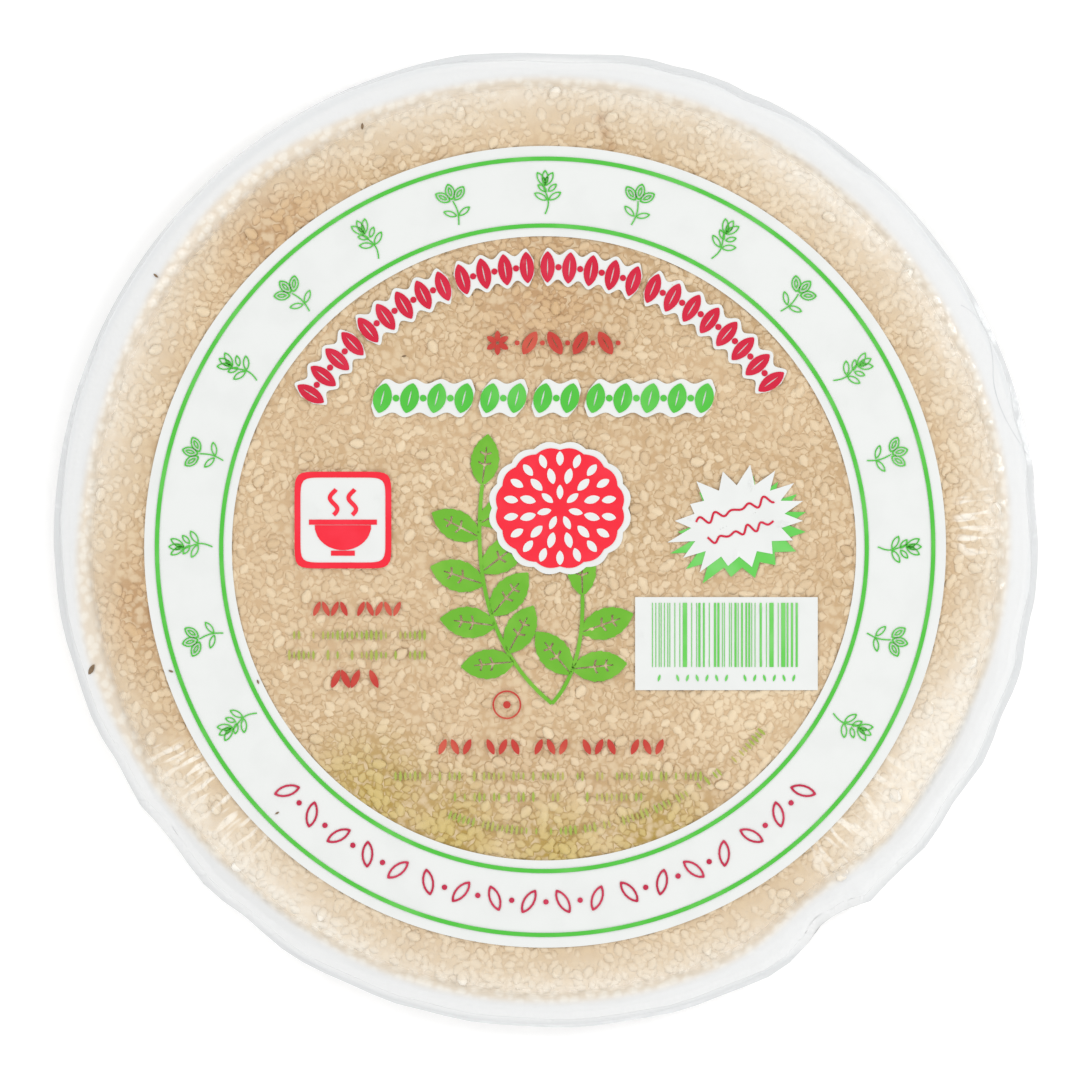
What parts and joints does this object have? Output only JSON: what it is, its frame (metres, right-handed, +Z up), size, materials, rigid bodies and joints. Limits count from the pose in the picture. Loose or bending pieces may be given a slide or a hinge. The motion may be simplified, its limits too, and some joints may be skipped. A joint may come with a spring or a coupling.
{
  "type": "film-wrapped pack of sesame rice papers",
  "caption": "Round flat pack of dried rice papers with white sesame seed, sealed in clear shrink film with a white printed ring and green lines on its face.",
  "frame": {"origin": "middle of the footprint, on the surface the pack lies on", "axes": "+Z up out of the printed face, +Y towards the top of the print, +X to its right"},
  "size_m": [0.2336, 0.231, 0.0179],
  "materials": {
    "clear_film": "clear glossy shrink film, hazy and puckered round the rim",
    "rice_paper": "dried rice sheet, translucent tan, uneven and slightly glossy",
    "sesame": "hulled white sesame seed, satin",
    "white_print": "opaque white ink under glossy film",
    "green_print": "bright green ink under glossy film",
    "red_print": "bright red ink under glossy film"
  },
  "bodies": {
    "root": {"sealed_pack": "clear_film"}
  },
  "joints": []
}
